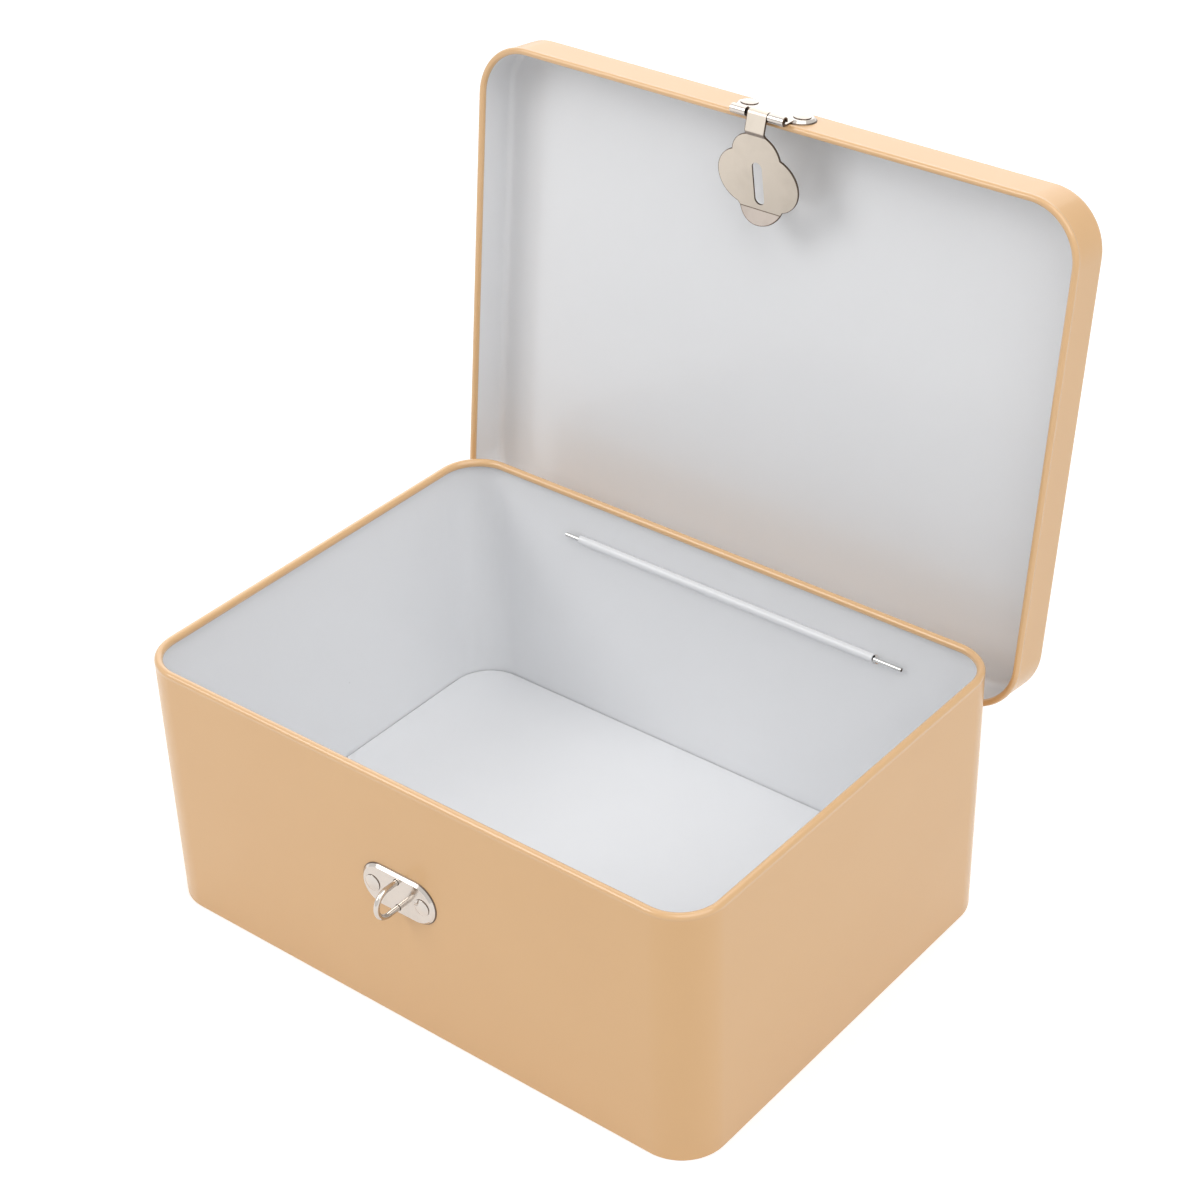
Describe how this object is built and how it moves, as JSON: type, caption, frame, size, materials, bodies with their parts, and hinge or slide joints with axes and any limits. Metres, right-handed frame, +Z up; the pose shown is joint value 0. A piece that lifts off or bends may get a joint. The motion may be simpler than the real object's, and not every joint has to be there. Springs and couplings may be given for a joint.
{
  "type": "lockable storage tin",
  "caption": "Rectangular lidded steel tin with rounded corners, a wire hinge at the back and a swinging hasp that closes over a padlock staple at the front.",
  "frame": {"origin": "middle of the flat ring that the box stands on", "axes": "+Z up, +X to the right along the front, +Y from the front to the hinge side"},
  "size_m": [0.2508, 0.2325, 0.2671],
  "materials": {
    "outer_enamel": "satin apricot enamel on tinplate",
    "white_lacquer": "satin white lacquer on tinplate",
    "nickel_plate": "bright nickel plating on pressed steel",
    "bright_wire": "bright drawn steel wire"
  },
  "bodies": {
    "body": {"body_wall": "outer_enamel", "body_bottom": "white_lacquer", "staple_plate": "nickel_plate", "staple_loop": "nickel_plate", "staple_rivet_left": "nickel_plate", "staple_rivet_right": "nickel_plate"},
    "lid": {"lid_shell": "outer_enamel", "hinge_wire": "bright_wire", "hasp_plate": "nickel_plate", "hasp_rivet_left": "nickel_plate", "hasp_rivet_right": "nickel_plate", "hasp_pin": "bright_wire"},
    "hasp_flap": {"hasp_flap": "nickel_plate"}
  },
  "joints": [
    {"name": "lid_hinge", "type": "hinge", "parent": "body", "child": "lid", "pos_m": [0.002, 0.08775, 0.0839], "axis": [1, 0, 0], "range_deg": [0, 97.1]},
    {"name": "hasp_swing", "type": "hinge", "parent": "lid", "child": "hasp_flap", "pos_m": [0.0001, 0.11038, 0.2654], "axis": [1, 0, 0], "range_deg": [-119.5, 1]}
  ],
  "couplings": [
    {"joint": "hasp_swing", "follows": "lid_hinge", "ratio": -1.22}
  ]
}
